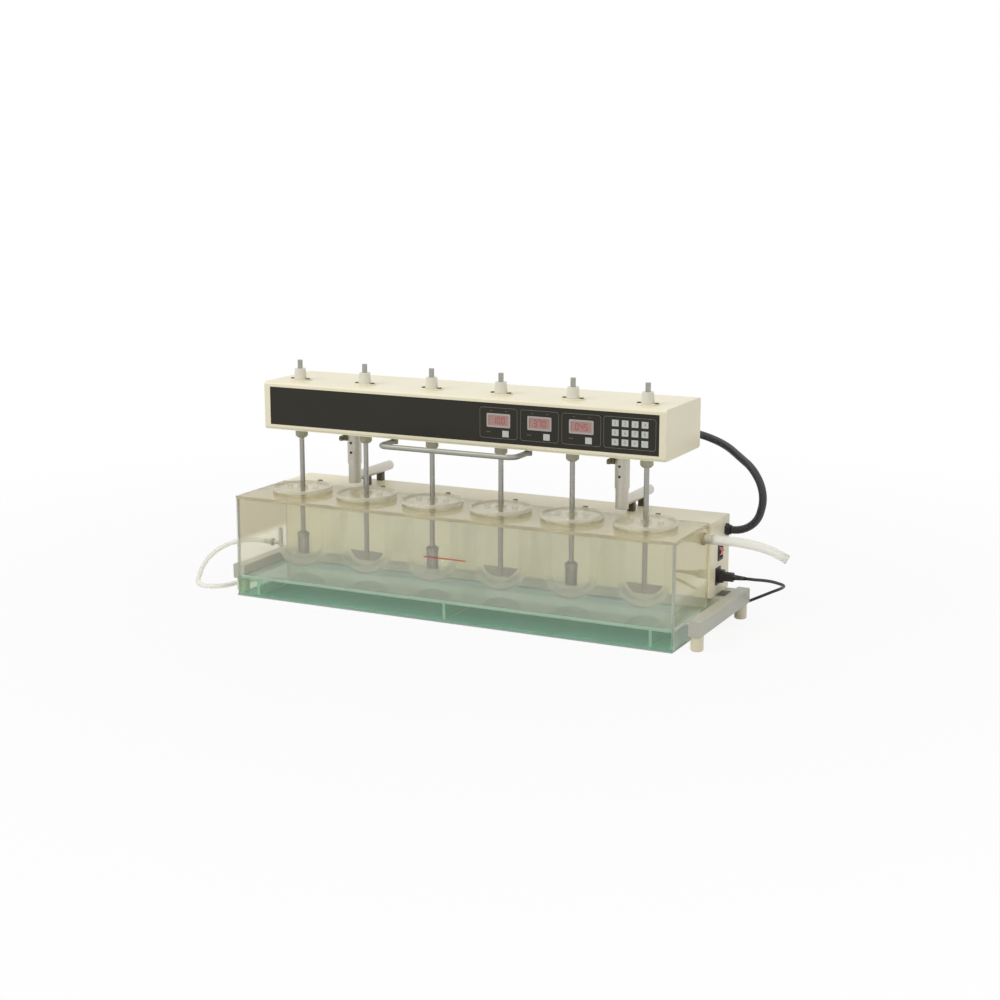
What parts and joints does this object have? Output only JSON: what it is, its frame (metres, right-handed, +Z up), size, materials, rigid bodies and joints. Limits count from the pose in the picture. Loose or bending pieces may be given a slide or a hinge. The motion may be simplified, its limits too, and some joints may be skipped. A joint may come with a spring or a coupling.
{
  "type": "dissolution tester",
  "caption": "Bench tester with a clear water bath of round-bottomed glass vessels and a raised drive head that turns basket and paddle stirrers through their lids.",
  "frame": {"origin": "on the bench under the middle of the instrument's footprint", "axes": "+X along the row of vessels to the mains inlet, +Y from the front to the back, +Z up"},
  "size_m": [1.2484, 0.4228, 0.4753],
  "materials": {
    "cream_paint": "satin cream paint on sheet steel",
    "grey_paint": "grey paint on steel bar",
    "cream_plastic": "moulded cream feet",
    "clear_acrylic": "clear acrylic sheet with a green edge",
    "lid_acrylic": "clear moulded acrylic",
    "vessel_glass": "clear blown glass",
    "black_plastic": "moulded black plastic",
    "bare_steel": "turned stainless steel",
    "white_plastic": "white moulded plastic on a steel quill",
    "clear_hose": "translucent silicone hose",
    "black_rubber": "black flexible sheath",
    "red_plastic": "translucent red rocker",
    "panel_black": "black overlay sheet",
    "display_red": "red display windows on a circuit board",
    "key_grey": "light grey key caps"
  },
  "bodies": {
    "root": {"base_frame": "grey_paint", "feet": "cream_plastic", "water_tank": "clear_acrylic", "cover_plate": "clear_acrylic", "vessels_left": "vessel_glass", "vessels_right": "vessel_glass", "cabinet_shell": "cream_paint", "cabinet_fittings": "black_plastic", "heater_pump": "bare_steel", "support_arms": "bare_steel", "saddle_blocks": "black_plastic", "bath_hoses": "clear_hose", "conduit": "black_rubber", "cord_plugs": "black_rubber", "mains_cord": "black_rubber", "cord_coil": "black_rubber"},
    "head": {"head_casing": "cream_paint", "head_base_plate": "cream_paint", "front_panel": "panel_black", "display_board": "display_red", "handle": "bare_steel", "column_sleeves": "bare_steel", "head_gland": "black_plastic", "drive_unit": "black_plastic"},
    "power_rocker": {"power_rocker": "red_plastic"},
    "lock_left": {"lock_knob_left": "bare_steel"},
    "lock_right": {"lock_knob_right": "bare_steel"},
    "spindle_1": {"spindle_1": "white_plastic"},
    "stirrer_1": {"shaft_1": "bare_steel"},
    "lid_1": {"lid_1": "lid_acrylic"},
    "spindle_2": {"spindle_2": "white_plastic"},
    "stirrer_2": {"shaft_2": "bare_steel"},
    "lid_2": {"lid_2": "lid_acrylic"},
    "spindle_3": {"spindle_3": "white_plastic"},
    "stirrer_3": {"shaft_3": "bare_steel"},
    "lid_3": {"lid_3": "lid_acrylic"},
    "spindle_4": {"spindle_4": "white_plastic"},
    "stirrer_4": {"shaft_4": "bare_steel"},
    "lid_4": {"lid_4": "lid_acrylic"},
    "spindle_5": {"spindle_5": "white_plastic"},
    "stirrer_5": {"shaft_5": "bare_steel"},
    "lid_5": {"lid_5": "lid_acrylic"},
    "spindle_6": {"spindle_6": "white_plastic"},
    "stirrer_6": {"shaft_6": "bare_steel"},
    "lid_6": {"lid_6": "lid_acrylic"},
    "display_key_1": {"display_key_1": "key_grey"},
    "display_key_2": {"display_key_2": "key_grey"},
    "display_key_3": {"display_key_3": "key_grey"},
    "key_1_1": {"key_1_1": "key_grey"},
    "key_1_2": {"key_1_2": "key_grey"},
    "key_1_3": {"key_1_3": "key_grey"},
    "key_1_4": {"key_1_4": "key_grey"},
    "key_2_1": {"key_2_1": "key_grey"},
    "key_2_2": {"key_2_2": "key_grey"},
    "key_2_3": {"key_2_3": "key_grey"},
    "key_2_4": {"key_2_4": "key_grey"},
    "key_3_1": {"key_3_1": "key_grey"},
    "key_3_2": {"key_3_2": "key_grey"},
    "key_3_3": {"key_3_3": "key_grey"},
    "key_3_4": {"key_3_4": "key_grey"}
  },
  "joints": [
    {"name": "head_lift", "type": "slide", "parent": "root", "child": "head", "axis": [0, 0, 1], "range_m": [0, 0.12], "deforming": ["conduit"]},
    {"name": "spindle_1_spin", "type": "hinge", "parent": "head", "child": "spindle_1", "pos_m": [-0.385, -0.059, 0.4], "axis": [0, 0, 1], "continuous": true},
    {"name": "spindle_2_spin", "type": "hinge", "parent": "head", "child": "spindle_2", "pos_m": [-0.235, -0.059, 0.4], "axis": [0, 0, 1], "continuous": true},
    {"name": "spindle_3_spin", "type": "hinge", "parent": "head", "child": "spindle_3", "pos_m": [-0.085, -0.059, 0.4], "axis": [0, 0, 1], "continuous": true},
    {"name": "spindle_4_spin", "type": "hinge", "parent": "head", "child": "spindle_4", "pos_m": [0.065, -0.059, 0.4], "axis": [0, 0, 1], "continuous": true},
    {"name": "spindle_5_spin", "type": "hinge", "parent": "head", "child": "spindle_5", "pos_m": [0.215, -0.059, 0.4], "axis": [0, 0, 1], "continuous": true},
    {"name": "spindle_6_spin", "type": "hinge", "parent": "head", "child": "spindle_6", "pos_m": [0.365, -0.059, 0.4], "axis": [0, 0, 1], "continuous": true},
    {"name": "stirrer_1_height", "type": "slide", "parent": "spindle_1", "child": "stirrer_1", "axis": [0, 0, 1], "range_m": [-0.005, 0.045]},
    {"name": "stirrer_2_height", "type": "slide", "parent": "spindle_2", "child": "stirrer_2", "axis": [0, 0, 1], "range_m": [-0.005, 0.045]},
    {"name": "stirrer_3_height", "type": "slide", "parent": "spindle_3", "child": "stirrer_3", "axis": [0, 0, 1], "range_m": [-0.005, 0.045]},
    {"name": "stirrer_4_height", "type": "slide", "parent": "spindle_4", "child": "stirrer_4", "axis": [0, 0, 1], "range_m": [-0.005, 0.045]},
    {"name": "stirrer_5_height", "type": "slide", "parent": "spindle_5", "child": "stirrer_5", "axis": [0, 0, 1], "range_m": [-0.005, 0.045]},
    {"name": "stirrer_6_height", "type": "slide", "parent": "spindle_6", "child": "stirrer_6", "axis": [0, 0, 1], "range_m": [-0.005, 0.045]},
    {"name": "lid_1_lift", "type": "slide", "parent": "head", "child": "lid_1", "axis": [0, 0, 1], "range_m": [0, 0.08]},
    {"name": "lid_2_lift", "type": "slide", "parent": "head", "child": "lid_2", "axis": [0, 0, 1], "range_m": [0, 0.08]},
    {"name": "lid_3_lift", "type": "slide", "parent": "head", "child": "lid_3", "axis": [0, 0, 1], "range_m": [0, 0.08]},
    {"name": "lid_4_lift", "type": "slide", "parent": "head", "child": "lid_4", "axis": [0, 0, 1], "range_m": [0, 0.08]},
    {"name": "lid_5_lift", "type": "slide", "parent": "head", "child": "lid_5", "axis": [0, 0, 1], "range_m": [0, 0.08]},
    {"name": "lid_6_lift", "type": "slide", "parent": "head", "child": "lid_6", "axis": [0, 0, 1], "range_m": [0, 0.08]},
    {"name": "display_key_1_press", "type": "slide", "parent": "head", "child": "display_key_1", "axis": [0, 1, 0], "range_m": [0, 0.0008], "stiffness_N_per_m": 1000, "springref_m": -0.0004},
    {"name": "display_key_2_press", "type": "slide", "parent": "head", "child": "display_key_2", "axis": [0, 1, 0], "range_m": [0, 0.0008], "stiffness_N_per_m": 1000, "springref_m": -0.0004},
    {"name": "display_key_3_press", "type": "slide", "parent": "head", "child": "display_key_3", "axis": [0, 1, 0], "range_m": [0, 0.0008], "stiffness_N_per_m": 1000, "springref_m": -0.0004},
    {"name": "key_1_1_press", "type": "slide", "parent": "head", "child": "key_1_1", "axis": [0, 1, 0], "range_m": [0, 0.0008], "stiffness_N_per_m": 1000, "springref_m": -0.0004},
    {"name": "key_1_2_press", "type": "slide", "parent": "head", "child": "key_1_2", "axis": [0, 1, 0], "range_m": [0, 0.0008], "stiffness_N_per_m": 1000, "springref_m": -0.0004},
    {"name": "key_1_3_press", "type": "slide", "parent": "head", "child": "key_1_3", "axis": [0, 1, 0], "range_m": [0, 0.0008], "stiffness_N_per_m": 1000, "springref_m": -0.0004},
    {"name": "key_1_4_press", "type": "slide", "parent": "head", "child": "key_1_4", "axis": [0, 1, 0], "range_m": [0, 0.0008], "stiffness_N_per_m": 1000, "springref_m": -0.0004},
    {"name": "key_2_1_press", "type": "slide", "parent": "head", "child": "key_2_1", "axis": [0, 1, 0], "range_m": [0, 0.0008], "stiffness_N_per_m": 1000, "springref_m": -0.0004},
    {"name": "key_2_2_press", "type": "slide", "parent": "head", "child": "key_2_2", "axis": [0, 1, 0], "range_m": [0, 0.0008], "stiffness_N_per_m": 1000, "springref_m": -0.0004},
    {"name": "key_2_3_press", "type": "slide", "parent": "head", "child": "key_2_3", "axis": [0, 1, 0], "range_m": [0, 0.0008], "stiffness_N_per_m": 1000, "springref_m": -0.0004},
    {"name": "key_2_4_press", "type": "slide", "parent": "head", "child": "key_2_4", "axis": [0, 1, 0], "range_m": [0, 0.0008], "stiffness_N_per_m": 1000, "springref_m": -0.0004},
    {"name": "key_3_1_press", "type": "slide", "parent": "head", "child": "key_3_1", "axis": [0, 1, 0], "range_m": [0, 0.0008], "stiffness_N_per_m": 1000, "springref_m": -0.0004},
    {"name": "key_3_2_press", "type": "slide", "parent": "head", "child": "key_3_2", "axis": [0, 1, 0], "range_m": [0, 0.0008], "stiffness_N_per_m": 1000, "springref_m": -0.0004},
    {"name": "key_3_3_press", "type": "slide", "parent": "head", "child": "key_3_3", "axis": [0, 1, 0], "range_m": [0, 0.0008], "stiffness_N_per_m": 1000, "springref_m": -0.0004},
    {"name": "key_3_4_press", "type": "slide", "parent": "head", "child": "key_3_4", "axis": [0, 1, 0], "range_m": [0, 0.0008], "stiffness_N_per_m": 1000, "springref_m": -0.0004},
    {"name": "power_rocker_tilt", "type": "hinge", "parent": "root", "child": "power_rocker", "pos_m": [0.46, 0.079, 0.139], "axis": [0, 1, 0], "range_deg": [0, 14]},
    {"name": "lock_left_turn", "type": "hinge", "parent": "head", "child": "lock_left", "pos_m": [-0.306, 0.016, 0.31], "axis": [1, 0, 0], "range_deg": [0, 180]},
    {"name": "lock_right_turn", "type": "hinge", "parent": "head", "child": "lock_right", "pos_m": [0.286, 0.016, 0.31], "axis": [1, 0, 0], "range_deg": [0, 180]}
  ],
  "couplings": [
    {"joint": "spindle_2_spin", "follows": "spindle_1_spin", "ratio": 1},
    {"joint": "spindle_3_spin", "follows": "spindle_1_spin", "ratio": 1},
    {"joint": "spindle_4_spin", "follows": "spindle_1_spin", "ratio": 1},
    {"joint": "spindle_5_spin", "follows": "spindle_1_spin", "ratio": 1},
    {"joint": "spindle_6_spin", "follows": "spindle_1_spin", "ratio": 1}
  ]
}
